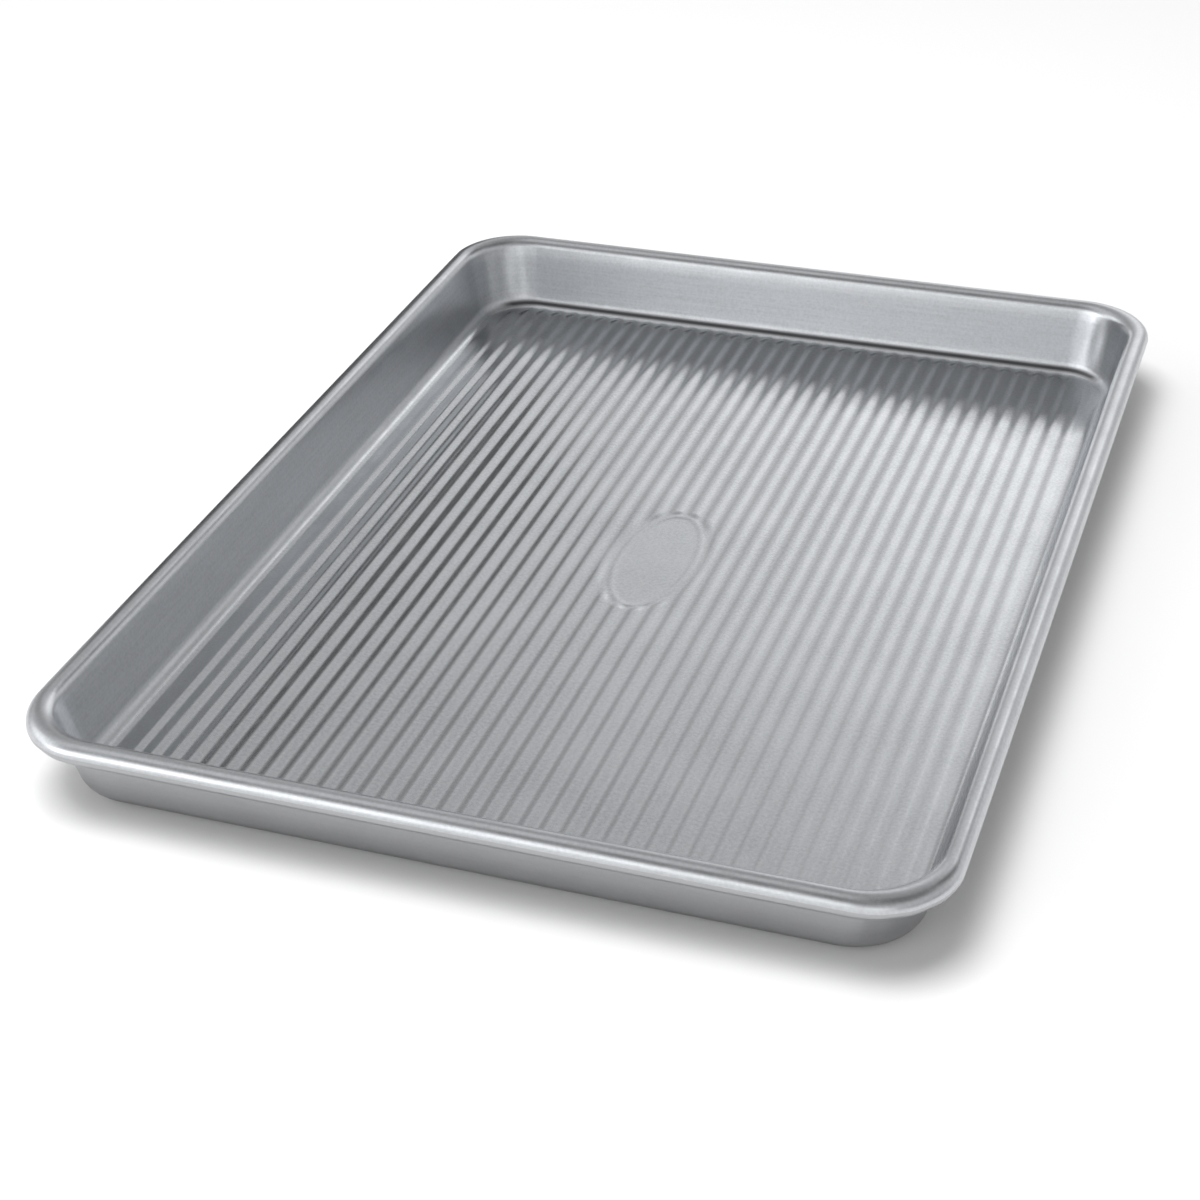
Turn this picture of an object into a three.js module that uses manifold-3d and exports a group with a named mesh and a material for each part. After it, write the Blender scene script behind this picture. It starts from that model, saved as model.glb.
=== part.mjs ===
// Quarter sheet pan: one pressed steel sheet with a fluted floor, drafted walls and a rim that
// is curled round a stiffening wire. Millimetres, +Z up. The origin is on the table under the
// middle of the pan, and the long sides run along Y.

import * as THREE from 'three';
import { mergeVertices } from 'three/addons/utils/BufferGeometryUtils.js';
import Module from 'manifold-3d';

const wasm = await Module();
wasm.setup();

// Outside of the rolled rim, and the height from the table to the top of the rim
const RIM_LENGTH = 330;
const RIM_WIDTH = 241;
const RIM_CORNER_RADIUS = 22;
const PAN_HEIGHT = 24.2;

// Pressed sheet: the draft is the lean of the walls from upright, the bend radius is the inside one
const SHEET_THICKNESS = 0.7;
const WALL_DRAFT = THREE.MathUtils.degToRad(11);
const FOOT_BEND_RADIUS = 5;
const FLOOR_CORNER_RADIUS = 15;

// Wired rim: room all round the wire, from the cut edge of the curl to the wall, between wire ends
const WIRE_DIAMETER = 4.5;
const WIRE_CLEARANCE = 0.3;
const CURL_EDGE_GAP = 0.5;
const WIRE_END_GAP = 1;

// Flutes: ribs pressed up along the whole floor, with the least flat strip beside the outer ones
const FLUTE_PITCH = 5.5;
const FLUTE_HEIGHT = 0.35;
const FLUTE_SIDE_MARGIN = 1;

// Flat oval pad in the middle of the floor, level with the valleys, and the length of the slope
// in which the flutes end there
const PAD_LENGTH = 52;
const PAD_WIDTH = 25;
const PAD_RUNOUT = 2;

// Facets
const CORNER_STEPS = 10;
const FOOT_STEPS = 6;
const CURL_STEPS = 16;
const WIRE_SIDES = 12;
const STRIPS_PER_FLUTE = 6;
const PAD_SIDES = 40;
const MERGE_TOLERANCE = 1e-4;

// Section through wall and rim. Its x is the distance outwards from the edge of the flat floor,
// where the foot bend starts, and its y is the height above the table.
const floorAngle = -Math.PI / 2;
const wallAngle = -WALL_DRAFT;
const wallNormal = new THREE.Vector2(Math.cos(WALL_DRAFT), -Math.sin(WALL_DRAFT));
const wallRise = new THREE.Vector2(Math.sin(WALL_DRAFT), Math.cos(WALL_DRAFT));
const curlInnerRadius = WIRE_DIAMETER / 2 + WIRE_CLEARANCE;
const curlOuterRadius = curlInnerRadius + SHEET_THICKNESS;
const footCentre = new THREE.Vector2(0, SHEET_THICKNESS + FOOT_BEND_RADIUS);
const curlCentre = footCentre.clone().addScaledVector(wallNormal, FOOT_BEND_RADIUS + curlOuterRadius);
const wallLength = (PAN_HEIGHT - curlOuterRadius - curlCentre.y) / wallRise.y;
curlCentre.addScaledVector(wallRise, wallLength);

// Flat floor inside the foot bend: half its sides, and how fast the corners widen towards the rim
const wallReach = curlCentre.x + curlOuterRadius;
const floorHalf = new THREE.Vector2(RIM_WIDTH / 2 - wallReach, RIM_LENGTH / 2 - wallReach);
const cornerGrowth = (RIM_CORNER_RADIUS - FLOOR_CORNER_RADIUS) / wallReach;

// Flute field: as many whole flutes as the floor takes
const fluteCount = Math.floor((2 * floorHalf.x - 2 * FLUTE_SIDE_MARGIN) / FLUTE_PITCH);

function arcPoints(centre, radius, startAngle, endAngle, steps) {
  const clockwise = endAngle < startAngle;
  const arc = new THREE.ArcCurve(centre.x, centre.y, radius, startAngle, endAngle, clockwise);
  return arc.getPoints(steps);
}

// Two triangles for each step between two lines of equally many points
function strip(left, right) {
  const triangles = [];
  for (let k = 0; k < left.length - 1; k += 1) {
    triangles.push([left[k], right[k], right[k + 1]]);
    triangles.push([left[k], right[k + 1], left[k + 1]]);
  }
  return triangles;
}

// A flat face whose corners are the given points, in the order of a plane outline
function cap(outline, points) {
  const faces = THREE.ShapeUtils.triangulateShape(outline, []);
  return faces.map((face) => face.map((corner) => points[corner]));
}

function flipped(triangles) {
  return triangles.map(([a, b, c]) => [a, c, b]);
}

// One closed body from a geometry without gaps, for joining and cutting
function bodyOf(geometry) {
  geometry.deleteAttribute('normal');
  geometry.deleteAttribute('uv');
  const merged = mergeVertices(geometry, MERGE_TOLERANCE);
  const vertProperties = new Float32Array(merged.getAttribute('position').array);
  const triVerts = new Uint32Array(merged.getIndex().array);
  return new wasm.Manifold(new wasm.Mesh({ numProp: 3, vertProperties, triVerts }));
}

function bodyOfTriangles(triangles) {
  return bodyOf(new THREE.BufferGeometry().setFromPoints(triangles.flat()));
}

// A section placed in one direction of one rounded corner, the corners counted anticlockwise
// from the back left one
function cornerSection(section, corner, step) {
  const diagonal = (corner + 1.5) * Math.PI / 2;
  const angle = (corner + 1 + step / CORNER_STEPS) * Math.PI / 2;
  const side = new THREE.Vector2(Math.sign(Math.cos(diagonal)), Math.sign(Math.sin(diagonal)));
  return section.map(({ x: out, y: height }) => {
    const radius = FLOOR_CORNER_RADIUS + out * cornerGrowth;
    const x = side.x * (floorHalf.x + out - radius) + radius * Math.cos(angle);
    const y = side.y * (floorHalf.y + out - radius) + radius * Math.sin(angle);
    return new THREE.Vector3(x, y, height);
  });
}

function cornerSections(section) {
  const sections = [];
  for (let corner = 0; corner < 4; corner += 1) {
    for (let step = 0; step <= CORNER_STEPS; step += 1) {
      sections.push(cornerSection(section, corner, step));
    }
  }
  return sections;
}

// A section swept round the pan. The ring of its first point is closed by a flat face that looks
// up, the ring of its last point by one that looks down.
function loft(section) {
  const sections = cornerSections(section);
  const triangles = sections.flatMap((points, index) => {
    const next = sections[(index + 1) % sections.length];
    return strip(next, points);
  });
  const upper = sections.map((points) => points[0]);
  const lower = sections.map((points) => points.at(-1));
  triangles.push(...cap(upper, upper));
  triangles.push(...flipped(cap(lower, lower)));
  return bodyOfTriangles(triangles);
}

// The pressed sheet with a plain floor: from the floor up the wall, round the curl to the cut
// edge, and back inside the curl and down the wall to the underside of the floor
function plainPan() {
  const curlStart = Math.PI - WALL_DRAFT;
  const openAngle = Math.acos((curlInnerRadius - CURL_EDGE_GAP) / curlOuterRadius);
  const curlEnd = curlStart - 2 * Math.PI + openAngle;
  const footOuterRadius = FOOT_BEND_RADIUS + SHEET_THICKNESS;
  return loft([
    ...arcPoints(footCentre, FOOT_BEND_RADIUS, floorAngle, wallAngle, FOOT_STEPS),
    ...arcPoints(curlCentre, curlOuterRadius, curlStart, curlEnd, CURL_STEPS),
    ...arcPoints(curlCentre, curlInnerRadius, curlEnd, curlStart, CURL_STEPS),
    ...arcPoints(footCentre, footOuterRadius, wallAngle, floorAngle, FOOT_STEPS),
  ]);
}

// Everything inside the middle of the sheet, from the floor to the top of the foot bend
function footInside() {
  const middleRadius = FOOT_BEND_RADIUS + SHEET_THICKNESS / 2;
  return loft(arcPoints(footCentre, middleRadius, wallAngle, floorAngle, FOOT_STEPS));
}

// A block as wide as the flute field and as long as the pan, whose top is the wave of the flutes
function fluteBlock(bottom, valley) {
  const wave = [];
  for (let index = 0; index <= fluteCount * STRIPS_PER_FLUTE; index += 1) {
    const turns = index / STRIPS_PER_FLUTE;
    const rise = FLUTE_HEIGHT * (1 - Math.cos(2 * Math.PI * turns)) / 2;
    wave.push(new THREE.Vector2((turns - fluteCount / 2) * FLUTE_PITCH, valley + rise));
  }
  const base = [new THREE.Vector2(wave.at(-1).x, bottom), new THREE.Vector2(wave[0].x, bottom)];
  const outline = new THREE.Shape([...wave, ...base]);
  const block = new THREE.ExtrudeGeometry(outline, { depth: RIM_LENGTH, bevelEnabled: false });
  block.translate(0, 0, -RIM_LENGTH / 2);
  block.rotateX(Math.PI / 2);
  return bodyOf(block);
}

// The oval space over the pad, an upturned cone that leaves a slope at the ends of the flutes
function padSpace(level) {
  const depth = PAD_LENGTH / 2 * FLUTE_HEIGHT / PAD_RUNOUT;
  const cone = new THREE.CylinderGeometry(PAD_LENGTH, 0, 2 * depth, PAD_SIDES);
  cone.rotateX(Math.PI / 2);
  cone.scale(PAD_WIDTH / PAD_LENGTH, 1, 1);
  cone.translate(0, 0, level);
  return bodyOf(cone);
}

// The ribs stand on the floor and die into the foot bend, and the underside has their grooves
function panBody() {
  const ribs = fluteBlock(0, SHEET_THICKNESS).subtract(padSpace(SHEET_THICKNESS));
  const grooves = fluteBlock(-SHEET_THICKNESS, 0).subtract(padSpace(0));
  return plainPan().add(ribs.intersect(footInside())).subtract(grooves);
}

// The wire runs once round inside the curl and its two ends meet in the middle of the back side
function rimWire() {
  const circle = arcPoints(curlCentre, WIRE_DIAMETER / 2, 0, 2 * Math.PI, WIRE_SIDES).slice(0, -1);
  const endAt = (x) => circle.map((point) => new THREE.Vector3(x, floorHalf.y + point.x, point.y));
  const sections = [endAt(-WIRE_END_GAP / 2), ...cornerSections(circle), endAt(WIRE_END_GAP / 2)];
  const rings = sections.map((points) => [...points, points[0]]);
  const triangles = rings.slice(1).flatMap((ring, index) => strip(rings[index], ring));
  triangles.push(...cap(circle, sections[0]));
  triangles.push(...flipped(cap(circle, sections.at(-1))));
  return bodyOfTriangles(triangles);
}

function steelMesh(name, body, color, roughness) {
  const { vertProperties, triVerts } = body.getMesh();
  const geometry = new THREE.BufferGeometry();
  geometry.setAttribute('position', new THREE.BufferAttribute(vertProperties, 3));
  geometry.setIndex(new THREE.BufferAttribute(triVerts, 1));
  geometry.computeVertexNormals();
  const steel = new THREE.MeshStandardMaterial({ color, roughness, metalness: 1 });
  const mesh = new THREE.Mesh(geometry, steel);
  mesh.name = name;
  return mesh;
}

const quarterSheetPan = new THREE.Group();
quarterSheetPan.add(steelMesh('pan_body', panBody(), 0x9b9d9f, 0.36));
quarterSheetPan.add(steelMesh('rim_wire', rimWire(), 0x85878a, 0.45));

export default quarterSheetPan;
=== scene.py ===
"""Looks of the quarter sheet pan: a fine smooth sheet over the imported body, coated steel,
a white table, soft studio light and the photograph's camera. Metres, +Z up, the flutes along Y."""

import math

import bmesh
import bpy
import numpy as np
from mathutils import Matrix, Vector


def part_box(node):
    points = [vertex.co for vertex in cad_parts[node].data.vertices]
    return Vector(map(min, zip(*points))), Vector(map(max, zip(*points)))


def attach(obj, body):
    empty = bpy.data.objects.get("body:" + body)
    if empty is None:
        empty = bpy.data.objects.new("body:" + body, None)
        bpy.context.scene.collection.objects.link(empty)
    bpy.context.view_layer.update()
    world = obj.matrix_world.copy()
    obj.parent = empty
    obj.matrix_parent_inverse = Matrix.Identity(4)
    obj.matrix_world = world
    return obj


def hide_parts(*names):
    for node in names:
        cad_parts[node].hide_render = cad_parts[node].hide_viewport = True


# Metres in a millimetre, and what keeps a divisor from being zero
MM = 0.001
TINY = 1e-9

# Pressed sheet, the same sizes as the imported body
SHEET_THICKNESS = 0.7 * MM
WALL_DRAFT = math.radians(11)
FOOT_BEND_RADIUS = 5 * MM
FLOOR_CORNER_RADIUS = 15 * MM
RIM_CORNER_RADIUS = 22 * MM
CURL_RADIUS = 3.25 * MM
CURL_EDGE_GAP = 0.5 * MM

# Flutes of the floor, and how softly they die into the foot bend, as a share of their height
FLUTE_PITCH = 5.5 * MM
FLUTE_HEIGHT = 0.35 * MM
FLUTE_SIDE_MARGIN = 1 * MM
FLUTE_END_SOFTNESS = 0.6

# Oval pad, in which the flutes end, and the plate inside it with a low ridge round it
PAD_LENGTH = 52 * MM
PAD_WIDTH = 25 * MM
PAD_FLUTE_RUNOUT = 3.2 * MM
PLATE_LENGTH = 50.5 * MM
PLATE_WIDTH = 20 * MM
RIDGE_WIDTH = 1.9 * MM
RIDGE_HEIGHT = 0.15 * MM

# Draw wrinkles in the corners of the wall
WRINKLE_COUNT = 4
WRINKLE_HEIGHT = 0.18 * MM

# Facets of the fine sheet: the power crowds the rows towards the ends of the pad and of the floor
COLUMNS_PER_FLUTE = 8
SIDE_STEPS = 9
END_STEPS = 12
PAD_STEPS = 30
LENGTH_STEPS = 2
ROW_CROWDING = 1.5
BEND_STEPS = 5
WALL_STEPS = 4
CURL_STEPS = 18
CURL_INSIDE_STEPS = 8
GRID_EDGE_ANGLE = math.radians(45)
TIP_MERGE_DISTANCE = 1e-7

# Noise: the middle part of its range, where most of its values lie, and its usual fineness
NOISE_MIDDLE = (0.3, 0.7)
NOISE_DETAIL = 2

# Colour of the sheet: grain between two greys, and lighter draw lines, long and level on the walls
GRAIN_SIZE = 0.9 * MM
GRAIN_DETAIL = 3
STEEL_DARK = (0.46, 0.472, 0.49)
STEEL_LIGHT = (0.545, 0.56, 0.58)
DRAW_LINE_SIZE = 0.8 * MM
DRAW_LINE_STRETCH = (0.03, 0.03, 1)
DRAW_LINE_SHARE = 0.4
STEEL_LINES = (0.62, 0.635, 0.657)

# Painted shade, a dark line in the foot bends of the short sides: its share by the height over
# the table, and by the distance past the end of the flat floor
STEEL_CREASE_SHADE = (0.12, 0.12, 0.125)
CREASE_SHADE_ZONE = ((1.6 * MM, 0), (2.2 * MM, 1), (2.6 * MM, 1), (3.5 * MM, 0))
CREASE_SHADE_ENDS = ((-2.4 * MM, 0), (0.6 * MM, 1))

# Painted shade on the faces that look down, so the outer walls and undersides come out darker: its
# share by how far a face looks up
STEEL_UNDERSIDE_SHADE = (0.37, 0.37, 0.375)
UNDERSIDE_SHADE_SHARE = ((0, 0.7), (0.05, 0))

# Gloss of the sheet: cloudy, rougher on the wall by the height over the table, with orange peel
CLOUD_SIZE = 9 * MM
STEEL_ROUGHNESS = (0.15, 0.22)
WALL_ROUGHENING = 0.18
WALL_ZONE = ((1.05 * MM, 0), (1.8 * MM, 1), (16 * MM, 1), (19 * MM, 0.7))
PEEL_SIZE = 2.5 * MM
PEEL_HEIGHT = 0.002 * MM

# Wire: patches of mill scale between two greys
SCALE_SIZE = 3 * MM
SCALE_DETAIL = 4
WIRE_DARK = (0.33, 0.33, 0.34)
WIRE_LIGHT = (0.52, 0.53, 0.54)
WIRE_ROUGHNESS = (0.35, 0.5)

# Table, its size in metres, and the matt surface that it shares with the card
TABLE_SIZE = 8
TABLE_GREY = 0.75
MATT_ROUGHNESS = 0.9

# Studio sky: brightness by the sine of the elevation, then its soft patches, each with azimuth
# clockwise from the pan's back, elevation and reach in degrees, and the brightness that it adds
# or, where that is negative, takes away
SKY_LEVELS = ((0, 0.45), (0.4, 0.7), (0.6, 0.68), (0.8, 0.44), (1, 0.42))
SKY_PATCHES = (
    # Behind the pan
    (6, 20, 22, 0.75),
    (-10, 26, 16, 0.25),
    (16, 34, 10, 0.9),
    (37, 38, 18, -0.6),
    (46, 10, 26, 0.35),
    # In front of it
    (212, 8, 34, 1.6),
    (160, 8, 26, 1.0),
    (195, 50, 26, -0.25),
    # To its left
    (-130, 8, 24, 1.8),
    (-95, 22, 28, 1.2),
    (-34, 6, 13, 0.9),
    (-42, 27, 16, -0.3),
    # High over its long sides
    (-90, 66, 26, 0.5),
    (90, 66, 26, -0.25),
)

# Lamp over the table: azimuth and elevation in degrees, as in the sky, metres and watts
TABLE_LIGHT_DIRECTION = (-140, 77)
TABLE_LIGHT_DISTANCE = 1.6
TABLE_LIGHT_SIZE = 0.9
TABLE_LIGHT_POWER = 23

# Dark card standing to the left of the pan: its place, its two ends, its height beside the middle
# of the pan, its rise towards the back, and the widths of its soft ends and top
CARD_PLACE = -170 * MM
CARD_ENDS = (-95 * MM, 330 * MM)
CARD_HEIGHT = 97 * MM
CARD_TILT = math.radians(11)
CARD_END_FADE = 60 * MM
CARD_TOP_FADE = 34 * MM
CARD_GREY = 0.16

# Camera, from the rim's outline in the photograph: place, view direction and roll, and its lens
# and sensor in millimetres
CAMERA_PLACE = Vector((189.74, -574.57, 364.15)) * MM
CAMERA_AZIMUTH = math.radians(19.884)
CAMERA_ELEVATION = math.radians(31.926)
CAMERA_ROLL = math.radians(-1.596)
CAMERA_LENS = 71.948
CAMERA_SENSOR = 36

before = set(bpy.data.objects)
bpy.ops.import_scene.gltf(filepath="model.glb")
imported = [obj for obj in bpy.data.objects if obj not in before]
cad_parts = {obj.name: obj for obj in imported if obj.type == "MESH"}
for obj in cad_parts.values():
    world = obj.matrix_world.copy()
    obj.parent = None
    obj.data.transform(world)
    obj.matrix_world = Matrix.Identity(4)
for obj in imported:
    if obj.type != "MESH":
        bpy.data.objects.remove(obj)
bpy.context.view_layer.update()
cad_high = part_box("pan_body")[1]

# Section through wall and rim: first number outwards from the edge of the flat floor, second up
foot_centre = Vector((0, SHEET_THICKNESS + FOOT_BEND_RADIUS))
wall_normal = Vector((math.cos(WALL_DRAFT), -math.sin(WALL_DRAFT)))
wall_rise = Vector((math.sin(WALL_DRAFT), math.cos(WALL_DRAFT)))
curl_centre = foot_centre + wall_normal * (FOOT_BEND_RADIUS + CURL_RADIUS)
wall_length = (cad_high.z - CURL_RADIUS - curl_centre.y) / wall_rise.y
curl_centre = curl_centre + wall_rise * wall_length
wall_reach = curl_centre.x + CURL_RADIUS
bend_outside = FOOT_BEND_RADIUS + SHEET_THICKNESS

# Flat floor, how fast the corners widen towards the rim, and as many flutes as the floor takes
floor_half = Vector((cad_high.x - wall_reach, cad_high.y - wall_reach))
corner_growth = (RIM_CORNER_RADIUS - FLOOR_CORNER_RADIUS) / wall_reach
flute_count = math.floor((2 * floor_half.x - 2 * FLUTE_SIDE_MARGIN) / FLUTE_PITCH)
flutes_half = flute_count * FLUTE_PITCH / 2

# The floor is one grid that ends part of the way up the foot bend, on a rounded rectangle
edge_out = FOOT_BEND_RADIUS * math.sin(GRID_EDGE_ANGLE)
edge_radius = FLOOR_CORNER_RADIUS + corner_growth * edge_out
edge_half = floor_half + Vector((edge_out, edge_out))
edge_corner = edge_half - Vector((edge_radius, edge_radius))
diagonal_reach = edge_radius * math.cos(math.pi / 4)


# Fine sheet

def smoothstep(values):
    """From 0 to 1 with a soft start and a soft end."""
    share = np.clip(values, 0, 1)
    return share * share * (3 - 2 * share)


def soft_maximum(first, second, softness):
    """The larger of two heights, rounded where they meet."""
    reach = np.maximum(softness, TINY)
    overlap = np.maximum(reach - np.abs(first - second), 0)
    return np.maximum(first, second) + overlap**2 / (4 * reach)


def rounded_end(across, half_across, half_along):
    """How far the grid's rounded outline reaches along one axis, at a distance along the other."""
    past = np.clip(np.abs(across) - (half_across - edge_radius), 0, edge_radius)
    return half_along - edge_radius + np.sqrt(edge_radius**2 - past**2)


def grid_columns():
    """Where the grid's columns lie across the flutes, up to the middle of the rounded corners."""
    spacing = FLUTE_PITCH / COLUMNS_PER_FLUTE
    last_column = edge_corner.x + diagonal_reach
    fluted = np.arange(flute_count * COLUMNS_PER_FLUTE + 1) * spacing - flutes_half
    fluted = fluted[np.abs(fluted) < last_column - spacing / 2]
    border_steps = math.ceil((last_column - fluted[-1]) / spacing)
    border = np.linspace(fluted[-1], last_column, border_steps + 1)[1:]
    return np.concatenate([-border[::-1], fluted, border])


def grid_places():
    """Places of the grid's points in plan: columns along the flutes, and rows across them."""
    columns = grid_columns()
    pad_reach = PAD_LENGTH / 2 + PAD_FLUTE_RUNOUT
    near_pad = pad_reach * (1 - np.linspace(1, 0, PAD_STEPS + 1) ** ROW_CROWDING)
    from_end = diagonal_reach * np.linspace(1, 0, END_STEPS + 1) ** ROW_CROWDING
    along = []
    for end in rounded_end(columns, edge_half.x, edge_half.y):
        between = np.linspace(pad_reach, end - diagonal_reach, LENGTH_STEPS + 1)[1:-1]
        half_column = np.concatenate([near_pad, between, end - from_end])
        along.append(np.concatenate([-half_column[:0:-1], half_column]))
    y = np.array(along)
    x = np.repeat(columns[:, None], y.shape[1], axis=1)

    # More columns on both sides, from the last one out to the long sides
    last_y = y[-1]
    side_reach = rounded_end(last_y, edge_half.y, edge_half.x)
    shares = np.linspace(0, 1, SIDE_STEPS + 1)[1:, None]
    side_x = columns[-1] + shares * (side_reach - columns[-1])
    side_y = np.repeat(last_y[None, :], SIDE_STEPS, axis=0)
    x = np.concatenate([-side_x[::-1], x, side_x])
    y = np.concatenate([side_y, y, side_y])
    return x, y


def distance_outwards(x, y):
    """Distance out from the edge of the flat floor, in the rings that widen towards the rim. In a
    corner it is the smaller root of a quadratic: the ring whose rounding goes through the point."""
    beyond_x = np.abs(x) - floor_half.x
    beyond_y = np.abs(y) - floor_half.y
    straight = np.maximum(beyond_x, beyond_y)
    from_x = beyond_x + FLOOR_CORNER_RADIUS
    from_y = beyond_y + FLOOR_CORNER_RADIUS
    slack = 1 - corner_growth
    squared = 2 * slack**2 - corner_growth**2
    single = -2 * slack * (from_x + from_y) - 2 * corner_growth * FLOOR_CORNER_RADIUS
    fixed = from_x**2 + from_y**2 - FLOOR_CORNER_RADIUS**2
    under_root = np.maximum(single**2 - 4 * squared * fixed, 0)
    round_corner = (-single - np.sqrt(under_root)) / (2 * squared)
    in_corner = np.minimum(from_x, from_y) > slack * np.maximum(straight, 0)
    return np.where(in_corner, round_corner, straight)


def beyond_oval(x, y, length, width):
    """Distance outwards from an oval in the middle of the floor, true close to its edge."""
    across = 2 * x / width
    along = 2 * y / length
    share = np.hypot(across, along) + TINY
    steepness = np.hypot(2 * across / width, 2 * along / length) / share + TINY
    return (share - 1) / steepness


def pressed_height(x, y):
    """Height of the flutes and of the ridge round the plate over the valleys."""
    turns = np.clip((x + flutes_half) / FLUTE_PITCH, 0, flute_count)
    wave = FLUTE_HEIGHT * (1 - np.cos(2 * math.pi * turns)) / 2
    fluted = smoothstep(beyond_oval(x, y, PAD_LENGTH, PAD_WIDTH) / PAD_FLUTE_RUNOUT)
    over_ridge = np.clip(beyond_oval(x, y, PLATE_LENGTH, PLATE_WIDTH) / RIDGE_WIDTH, 0, 1)
    return wave * fluted + RIDGE_HEIGHT * np.sin(math.pi * over_ridge) ** 2


def floor_skin(x, y, level, bend_radius):
    """Points of one skin of the floor, with the flutes dying into its foot bend."""
    out = np.maximum(distance_outwards(x, y), 0)
    bend = foot_centre.y - np.sqrt(bend_radius**2 - out**2)
    pressed = pressed_height(x, y)
    height = soft_maximum(level + pressed, bend, FLUTE_END_SOFTNESS * pressed)
    return np.stack([x, y, height], axis=2).reshape(-1, 3)


def arc(centre, radius, start, end, steps):
    """Points of an arc without its first one."""
    angles = np.linspace(start, end, steps + 1)[1:]
    return [(centre.x + radius * math.cos(a), centre.y + radius * math.sin(a)) for a in angles]


def wall_line(start, rise):
    """Points of a straight line along the wall without its first one."""
    steps = range(1, WALL_STEPS + 1)
    return [tuple(Vector(start) + rise * (wall_length * step / WALL_STEPS)) for step in steps]


def wall_section():
    """From the grid's upper edge up the wall, round the curl, back inside it and down again."""
    curl_inside = CURL_RADIUS - SHEET_THICKNESS
    curl_start = math.pi - WALL_DRAFT
    open_angle = math.acos((curl_inside - CURL_EDGE_GAP) / CURL_RADIUS)
    curl_end = curl_start - 2 * math.pi + open_angle
    upper_start = GRID_EDGE_ANGLE - math.pi / 2
    lower_end = math.asin(edge_out / bend_outside) - math.pi / 2
    points = arc(foot_centre, FOOT_BEND_RADIUS, upper_start, -WALL_DRAFT, BEND_STEPS)
    points += wall_line(points[-1], wall_rise)
    points += arc(curl_centre, CURL_RADIUS, curl_start, curl_end, CURL_STEPS)
    cut_edge = arc(curl_centre, curl_inside, curl_end, curl_end, 1)
    points += cut_edge
    points += arc(curl_centre, curl_inside, curl_end, curl_start, CURL_INSIDE_STEPS)
    points += wall_line(points[-1], -wall_rise)
    points += arc(foot_centre, bend_outside, -WALL_DRAFT, lower_end, BEND_STEPS)[:-1]
    return points


def corner_angles(places):
    """Which of the grid's edge points lie in a rounded corner, and their angles round it."""
    beyond = np.abs(places) - np.array(edge_corner)
    return (beyond > 0).all(axis=1), np.arctan2(beyond[:, 1], beyond[:, 0])


def spokes(places):
    """How the grid's edge points move outwards in plan, per unit of distance."""
    in_corner, angle = corner_angles(places)
    round_spokes = np.stack([np.cos(angle), np.sin(angle)], axis=1)
    corner = 1 - corner_growth + corner_growth * round_spokes
    on_side = np.abs(places[:, 0]) > edge_half.x - TINY
    straight = np.where(on_side[:, None], [1.0, 0.0], [0.0, 1.0])
    return np.sign(places) * np.where(in_corner[:, None], corner, straight)


def wrinkles(places):
    """How far the draw wrinkles push the wall outwards at the grid's edge points."""
    in_corner, angle = corner_angles(places)
    turn = angle / (math.pi / 2)
    wave = np.sin(2 * math.pi * WRINKLE_COUNT * turn) * np.sin(math.pi * turn)
    return WRINKLE_HEIGHT * np.where(in_corner, wave, 0)


def wall_rings(places):
    """Rings of points from the grid's edge points round the wall's section. The wrinkles are full
    half way up the wall and end at its foot and at the curl."""
    direction = spokes(places)
    wrinkled = wrinkles(places)[:, None] * direction
    rings = []
    for out, height in wall_section():
        up_wall = np.clip((height - foot_centre.y) / (curl_centre.y - foot_centre.y), 0, 1)
        fullness = 4 * up_wall * (1 - up_wall)
        plan = places + (out - edge_out) * direction + fullness * wrinkled
        rings.append(np.column_stack([plan, np.full(len(places), height)]))
    return rings


def closed_mesh(name, vertices, faces):
    """A smooth mesh whose coinciding points are merged and whose faces all look outwards."""
    mesh = bpy.data.meshes.new(name)
    mesh.from_pydata(vertices.tolist(), [], faces.tolist())
    shape = bmesh.new()
    shape.from_mesh(mesh)
    bmesh.ops.remove_doubles(shape, verts=shape.verts, dist=TIP_MERGE_DISTANCE)
    bmesh.ops.recalc_face_normals(shape, faces=shape.faces)
    shape.to_mesh(mesh)
    shape.free()
    mesh.shade_smooth()
    return mesh


def sheet_mesh():
    """The whole pressed sheet: both skins of the floor, and the wall and rim round them."""
    x, y = grid_places()
    upper = floor_skin(x, y, SHEET_THICKNESS, FOOT_BEND_RADIUS)
    lower = floor_skin(x, y, 0, bend_outside)
    skin_size = len(upper)
    index = np.arange(skin_size).reshape(x.shape)

    # The grid's edge points in order round the pan, and the rings of the wall outside them
    main = slice(SIDE_STEPS, len(x) - SIDE_STEPS)
    edge = np.concatenate([
        index[main, 0],
        index[-1, 1:-1],
        index[main, -1][::-1],
        index[0, 1:-1][::-1],
    ])
    rings = wall_rings(upper[edge, :2])
    vertices = np.concatenate([upper, lower, *rings])

    # Faces of both skins, then of the bands from the upper skin round the wall to the lower one
    corners = [index[:-1, :-1], index[1:, :-1], index[1:, 1:], index[:-1, 1:]]
    quads = np.stack([corner.ravel() for corner in corners], axis=1)
    faces = [quads, quads[:, ::-1] + skin_size]
    loops = [edge]
    for ring in range(len(rings)):
        loops.append(2 * skin_size + ring * len(edge) + np.arange(len(edge)))
    loops.append(edge + skin_size)
    for inner, outer in zip(loops[:-1], loops[1:]):
        faces.append(np.stack([inner, outer, np.roll(outer, -1), np.roll(inner, -1)], axis=1))
    return closed_mesh("pan_sheet", vertices, np.concatenate(faces))


# Shader nodes

def node_material(name):
    """A new material, with its node tree and its shader."""
    material = bpy.data.materials.new(name)
    material.use_nodes = True
    tree = material.node_tree
    return material, tree, tree.nodes["Principled BSDF"]


def add_node(tree, kind, **settings):
    node = tree.nodes.new(kind)
    for name, value in settings.items():
        setattr(node, name, value)
    return node


def coordinates(tree):
    return add_node(tree, "ShaderNodeTexCoord").outputs


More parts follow.
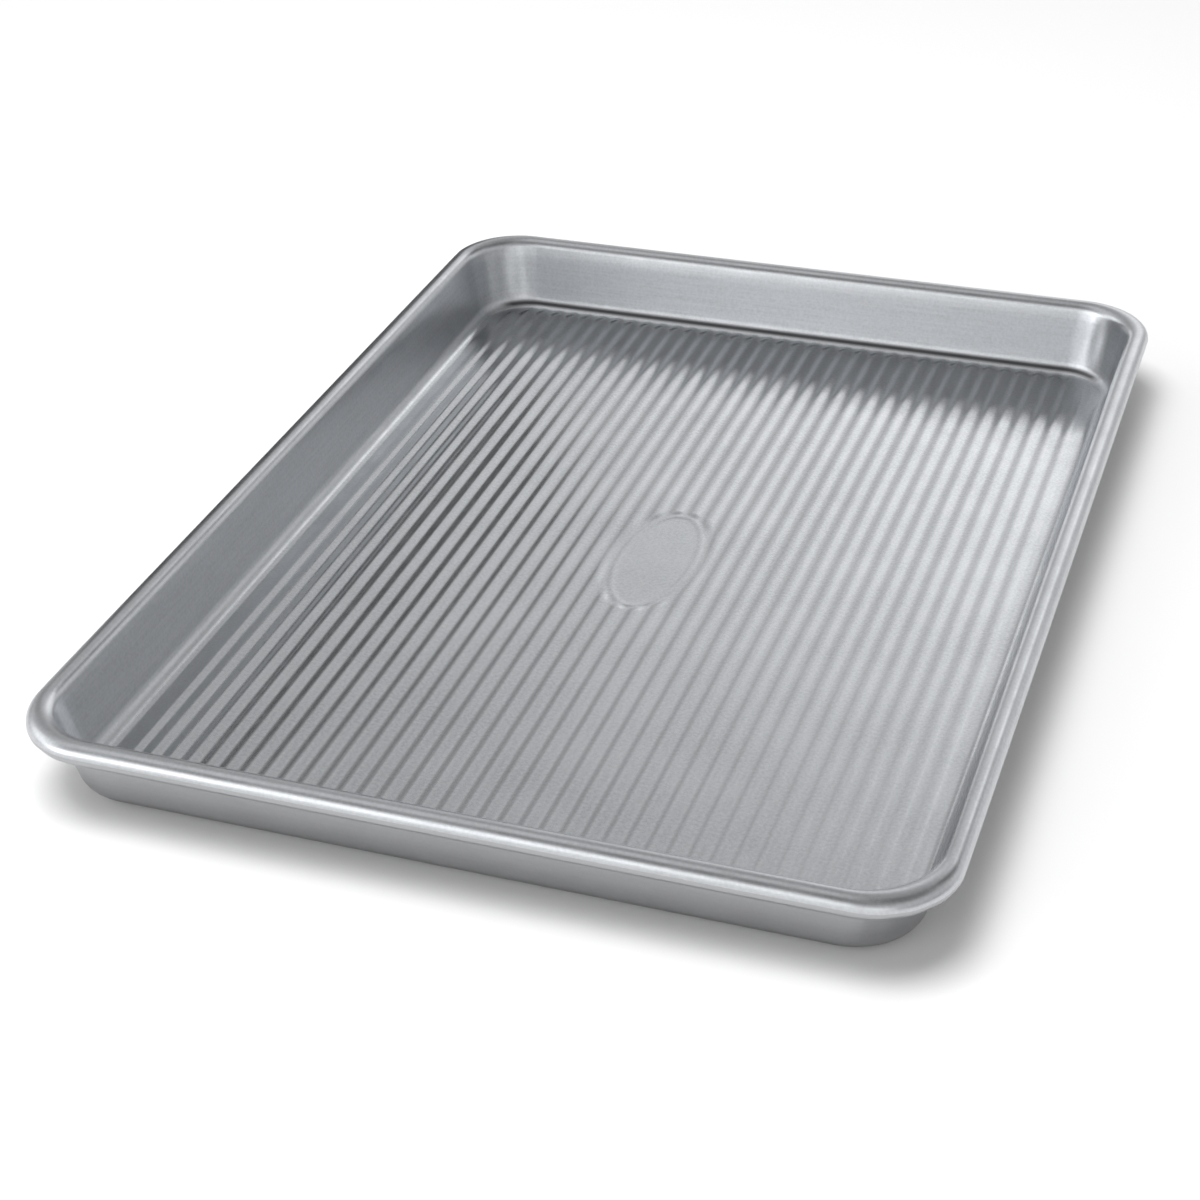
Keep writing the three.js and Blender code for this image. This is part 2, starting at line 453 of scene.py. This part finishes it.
def axes_of(tree, vector):
    node = add_node(tree, "ShaderNodeSeparateXYZ")
    tree.links.new(vector, node.inputs["Vector"])
    return node.outputs


def vector_math(tree, operation, vector, fixed):
    """A node that works on a vector and a fixed second one."""
    node = add_node(tree, "ShaderNodeVectorMath", operation=operation)
    node.inputs[1].default_value = fixed
    tree.links.new(vector, node.inputs[0])
    return node.outputs


def calculate(tree, operation, *values):
    """The result of a sum, product or the like of other nodes' values."""
    node = add_node(tree, "ShaderNodeMath", operation=operation)
    for value, socket in zip(values, node.inputs):
        tree.links.new(value, socket)
    return node.outputs["Value"]


def noise(tree, place, size, detail=NOISE_DETAIL):
    """Noise whose lumps are about the given size, from 0 to 1."""
    node = add_node(tree, "ShaderNodeTexNoise")
    node.inputs["Scale"].default_value = 1 / size
    node.inputs["Detail"].default_value = detail
    tree.links.new(place, node.inputs["Vector"])
    return node.outputs["Fac"]


def spread(tree, value, low, high):
    """The middle of a noise's values spread over a range."""
    node = add_node(tree, "ShaderNodeMapRange")
    node.inputs["From Min"].default_value = NOISE_MIDDLE[0]
    node.inputs["From Max"].default_value = NOISE_MIDDLE[1]
    node.inputs["To Min"].default_value = low
    node.inputs["To Max"].default_value = high
    tree.links.new(value, node.inputs["Value"])
    return node.outputs["Result"]


def ramp(tree, value, stops):
    """A value that runs through the given pairs of place and level."""
    first = stops[0][0]
    last = stops[-1][0]
    within = add_node(tree, "ShaderNodeMapRange")
    within.inputs["From Min"].default_value = first
    within.inputs["From Max"].default_value = last
    tree.links.new(value, within.inputs["Value"])
    node = add_node(tree, "ShaderNodeValToRGB")
    elements = node.color_ramp.elements
    for _ in stops[2:]:
        elements.new(0.5)
    for element, (place, level) in zip(elements, stops):
        element.position = (place - first) / (last - first)
        element.color = (level, level, level, 1)
    tree.links.new(within.outputs["Result"], node.inputs["Fac"])
    return node.outputs["Color"]


def blend(tree, share, dark, light):
    """A colour between two others by the given share."""
    node = add_node(tree, "ShaderNodeMix", data_type="RGBA")
    node.inputs["A"].default_value = (*dark, 1)
    node.inputs["B"].default_value = (*light, 1)
    tree.links.new(share, node.inputs["Factor"])
    return node.outputs["Result"]


def layer(tree, share, under, colour):
    """One colour laid over another with the given share."""
    over = blend(tree, share, colour, colour)
    tree.links.new(under, over.node.inputs["A"])
    return over


# Materials of the pan

def sheet_colour(tree, place, facing_up):
    """Fine grain, draw lines along the walls, and painted shade in the short sides' foot bends and
    on faces that look down.
    """
    axes = axes_of(tree, place)
    stretched = vector_math(tree, "MULTIPLY", place, DRAW_LINE_STRETCH)["Vector"]
    grain = spread(tree, noise(tree, place, GRAIN_SIZE, GRAIN_DETAIL), 0, 1)
    lines = spread(tree, noise(tree, stretched, DRAW_LINE_SIZE), 0, DRAW_LINE_SHARE)

    # Painted shade: a dark line in the foot bends of the short sides
    lengthways = calculate(tree, "ABSOLUTE", axes["Y"])
    crease_shade_ends = [(floor_half.y + past, share) for past, share in CREASE_SHADE_ENDS]
    at_ends = ramp(tree, lengthways, crease_shade_ends)
    crease_shade = calculate(tree, "MULTIPLY", ramp(tree, axes["Z"], CREASE_SHADE_ZONE), at_ends)
    # Painted shade on the faces that look down
    underside_shade = ramp(tree, facing_up, UNDERSIDE_SHADE_SHARE)

    colour = blend(tree, grain, STEEL_DARK, STEEL_LIGHT)
    colour = layer(tree, lines, colour, STEEL_LINES)
    colour = layer(tree, crease_shade, colour, STEEL_CREASE_SHADE)
    return layer(tree, underside_shade, colour, STEEL_UNDERSIDE_SHADE)


def sheet_roughness(tree, place):
    """Soft clouds all over, and a rougher wall."""
    clouds = spread(tree, noise(tree, place, CLOUD_SIZE), *STEEL_ROUGHNESS)
    on_wall = ramp(tree, axes_of(tree, place)["Z"], WALL_ZONE)
    roughness = add_node(tree, "ShaderNodeMath", operation="MULTIPLY_ADD")
    roughness.inputs[1].default_value = WALL_ROUGHENING
    tree.links.new(on_wall, roughness.inputs[0])
    tree.links.new(clouds, roughness.inputs[2])
    return roughness.outputs["Value"]


def orange_peel(tree, place):
    """Normals of a slightly uneven coating."""
    bump = add_node(tree, "ShaderNodeBump")
    bump.inputs["Strength"].default_value = 1
    bump.inputs["Distance"].default_value = PEEL_HEIGHT
    tree.links.new(noise(tree, place, PEEL_SIZE), bump.inputs["Height"])
    return bump.outputs["Normal"]


def coated_steel():
    """Grey sheet under a clear release coating."""
    material, tree, shader = node_material("coated_steel")
    spot = coordinates(tree)
    place = spot["Object"]
    facing_up = axes_of(tree, spot["Normal"])["Z"]
    shader.inputs["Metallic"].default_value = 1
    tree.links.new(sheet_colour(tree, place, facing_up), shader.inputs["Base Color"])
    tree.links.new(sheet_roughness(tree, place), shader.inputs["Roughness"])
    tree.links.new(orange_peel(tree, place), shader.inputs["Normal"])
    return material


def drawn_wire():
    """Plain drawn wire: dull, with darker patches of mill scale."""
    material, tree, shader = node_material("drawn_wire")
    place = coordinates(tree)["Object"]
    scale = spread(tree, noise(tree, place, SCALE_SIZE, SCALE_DETAIL), 0, 1)
    roughness = spread(tree, noise(tree, place, GRAIN_SIZE), *WIRE_ROUGHNESS)
    shader.inputs["Metallic"].default_value = 1
    tree.links.new(blend(tree, scale, WIRE_DARK, WIRE_LIGHT), shader.inputs["Base Color"])
    tree.links.new(roughness, shader.inputs["Roughness"])
    return material


# Table, light and card

def matt_grey(name, grey):
    """An even matt material, with its node tree and its shader."""
    material, tree, shader = node_material(name)
    shader.inputs["Base Color"].default_value = (grey, grey, grey, 1)
    shader.inputs["Roughness"].default_value = MATT_ROUGHNESS
    return material, tree, shader


def white_table():
    bpy.ops.mesh.primitive_plane_add(size=TABLE_SIZE)
    table = bpy.context.object
    table.name = "table"
    material, _, shader = matt_grey("white_table", TABLE_GREY)
    shader.inputs["Specular IOR Level"].default_value = 0
    table.data.materials.append(material)


def sky_direction(azimuth, elevation):
    """Direction to a place in the sky, the azimuth clockwise from the pan's back, in degrees."""
    level = math.cos(math.radians(elevation))
    x = level * math.sin(math.radians(azimuth))
    y = level * math.cos(math.radians(azimuth))
    return Vector((x, y, math.sin(math.radians(elevation))))


def studio_sky():
    """A white sky that is brightest half way up, with soft bright and dark patches, as the walls
    and the lamps of a studio make them."""
    world = bpy.data.worlds.new("studio")
    bpy.context.scene.world = world
    world.use_nodes = True
    tree = world.node_tree
    direction = coordinates(tree)["Generated"]
    total = ramp(tree, axes_of(tree, direction)["Z"], SKY_LEVELS)
    for azimuth, elevation, reach, brightness in SKY_PATCHES:
        middle = sky_direction(azimuth, elevation)
        nearness = vector_math(tree, "DOT_PRODUCT", direction, middle)["Value"]
        patch = add_node(tree, "ShaderNodeMapRange", interpolation_type="SMOOTHSTEP")
        patch.inputs["From Min"].default_value = math.cos(math.radians(reach))
        patch.inputs["To Max"].default_value = brightness
        tree.links.new(nearness, patch.inputs["Value"])
        total = calculate(tree, "ADD", total, patch.outputs["Result"])
    background = tree.nodes["Background"]
    background.inputs["Color"].default_value = (1, 1, 1, 1)
    tree.links.new(total, background.inputs["Strength"])


def table_light():
    """A large soft lamp high over the front left of the table, which the metal doesn't mirror."""
    data = bpy.data.lights.new("table_light", "AREA")
    data.size = TABLE_LIGHT_SIZE
    data.energy = TABLE_LIGHT_POWER
    light = bpy.data.objects.new("table_light", data)
    direction = sky_direction(*TABLE_LIGHT_DIRECTION)
    light.location = direction * TABLE_LIGHT_DISTANCE
    light.rotation_euler = direction.to_track_quat("Z", "Y").to_euler()
    light.visible_glossy = False
    bpy.context.scene.collection.objects.link(light)


def card_material():
    """Dark grey that fades out towards both ends and the top of the card."""
    material, tree, shader = matt_grey("black_card", CARD_GREY)
    low, high = CARD_ENDS
    axes = axes_of(tree, coordinates(tree)["Object"])
    end_stops = ((low, 0), (low + CARD_END_FADE, 1), (high - CARD_END_FADE, 1), (high, 0))
    lengthways = ramp(tree, axes["Y"], end_stops)
    upwards = ramp(tree, axes["Z"], ((CARD_HEIGHT - CARD_TOP_FADE, 1), (CARD_HEIGHT, 0)))
    tree.links.new(calculate(tree, "MULTIPLY", lengthways, upwards), shader.inputs["Alpha"])
    return material


def dark_card():
    """A card beside the pan that only the metal mirrors, as a dark side on each flute. It goes on
    below the table, so that its tilt leaves no gap."""
    low, high = CARD_ENDS
    corners = [(low, -CARD_HEIGHT), (high, -CARD_HEIGHT), (high, CARD_HEIGHT), (low, CARD_HEIGHT)]
    mesh = bpy.data.meshes.new("dark_card")
    mesh.from_pydata([(0, y, z) for y, z in corners], [], [(0, 1, 2, 3)])
    mesh.materials.append(card_material())
    card = bpy.data.objects.new("dark_card", mesh)
    card.location.x = CARD_PLACE
    card.rotation_euler.x = CARD_TILT
    card.visible_camera = False
    card.visible_diffuse = False
    card.visible_shadow = False
    bpy.context.scene.collection.objects.link(card)


def studio():
    bpy.context.scene.view_settings.view_transform = "Standard"
    studio_sky()
    table_light()
    dark_card()


# Camera and pan

def photograph_camera():
    back = Vector((
        math.sin(CAMERA_AZIMUTH) * math.cos(CAMERA_ELEVATION),
        -math.cos(CAMERA_AZIMUTH) * math.cos(CAMERA_ELEVATION),
        math.sin(CAMERA_ELEVATION),
    ))
    right = Vector((0, 0, 1)).cross(back).normalized()
    up = back.cross(right)
    turned_right = math.cos(CAMERA_ROLL) * right + math.sin(CAMERA_ROLL) * up
    turned_up = math.cos(CAMERA_ROLL) * up - math.sin(CAMERA_ROLL) * right
    data = bpy.data.cameras.new("camera")
    data.lens = CAMERA_LENS
    data.sensor_width = CAMERA_SENSOR
    camera = bpy.data.objects.new("camera", data)
    axes = Matrix((turned_right, turned_up, back)).transposed()
    camera.matrix_world = Matrix.Translation(CAMERA_PLACE) @ axes.to_4x4()
    bpy.context.scene.collection.objects.link(camera)
    bpy.context.scene.camera = camera


def dress_pan():
    """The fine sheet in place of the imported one, and the wire in its own material."""
    sheet = bpy.data.objects.new("pan_sheet", sheet_mesh())
    bpy.context.scene.collection.objects.link(sheet)
    sheet.data.materials.append(coated_steel())
    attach(sheet, "root")
    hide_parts("pan_body")
    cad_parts["rim_wire"].material_slots[0].material = drawn_wire()


photograph_camera()
studio()
white_table()
dress_pan()
